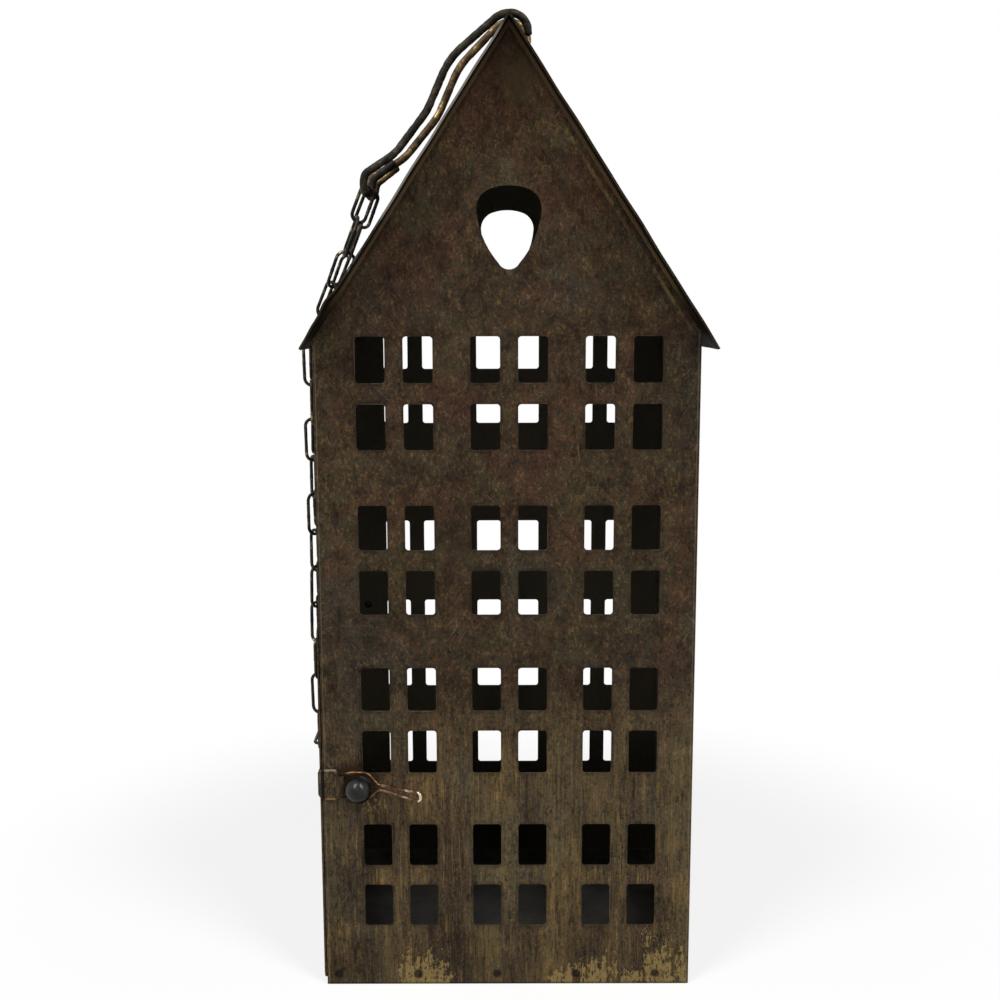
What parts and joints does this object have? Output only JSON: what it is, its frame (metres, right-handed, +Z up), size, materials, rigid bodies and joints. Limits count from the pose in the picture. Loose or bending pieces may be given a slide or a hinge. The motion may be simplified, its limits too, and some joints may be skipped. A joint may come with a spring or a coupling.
{
  "type": "punched tin lantern",
  "caption": "Tall house-shaped tin lantern with punched windows, a gable hole, a hinged side door with a loop-and-ball latch, and a chain on two ridge hooks.",
  "frame": {"origin": "middle of the base, on the underside of the floor tray, where the lantern stands", "axes": "+X right as seen from the front, +Y from the front to the back, +Z up to the ridge"},
  "size_m": [0.1647, 0.152, 0.3863],
  "materials": {
    "patinated_tin": "dark brown patina, brushed, worn to brass-gold at the foot",
    "worn_strap": "brown patina, worn pale along its edges",
    "dark_rivet": "dark, semi-gloss",
    "dark_ball": "near-black, semi-gloss",
    "brown_wire": "brown with bare copper-gold highlights",
    "hook_wire": "dark brown, rubbed bright on the bends",
    "chain_wire": "dark brown wire"
  },
  "bodies": {
    "body": {"front_wall": "patinated_tin", "back_wall": "patinated_tin", "right_wall": "patinated_tin", "left_wall": "patinated_tin", "roof": "patinated_tin", "base_tray": "patinated_tin", "upper_hinge_wall_leaf": "patinated_tin", "lower_hinge_wall_leaf": "patinated_tin", "upper_hinge_pin": "dark_rivet", "lower_hinge_pin": "dark_rivet", "hinge_wall_rivets": "dark_rivet", "latch_ball": "dark_ball", "ball_stud": "dark_rivet"},
    "side_door": {"door": "patinated_tin", "upper_hinge_door_leaf": "patinated_tin", "lower_hinge_door_leaf": "patinated_tin", "hinge_door_rivets": "dark_rivet", "latch_strap": "worn_strap", "strap_rivets": "dark_rivet"},
    "latch": {"latch_loop": "brown_wire"},
    "hanger": {"hook_front": "hook_wire", "hook_rear": "hook_wire", "end_link_front": "chain_wire", "end_link_rear": "chain_wire", "chain_roof_front": "chain_wire", "chain_roof_rear": "chain_wire"},
    "chain": {"chain_side_front": "chain_wire", "chain_side_rear": "chain_wire", "chain_loop_end": "chain_wire"}
  },
  "joints": [
    {"name": "door_hinge", "type": "hinge", "parent": "body", "child": "side_door", "pos_m": [-0.07786, 0.06166, 0.09], "axis": [0, 0, -1], "range_deg": [0, 265], "deforming": ["latch_loop", "chain_loop_end"]},
    {"name": "latch_swing", "type": "hinge", "parent": "side_door", "child": "latch", "pos_m": [-0.0676, -0.06202, 0.0874], "axis": [0, 0, -1], "range_deg": [0, 150]},
    {"name": "chain_lift", "type": "slide", "parent": "body", "child": "hanger", "axis": [0, 0, 1], "range_m": [0, 0.04]},
    {"name": "chain_swing", "type": "hinge", "parent": "hanger", "child": "chain", "pos_m": [-0.0816, -0.01125, 0.2631], "axis": [0, 1, 0], "range_deg": [0, 60]}
  ]
}
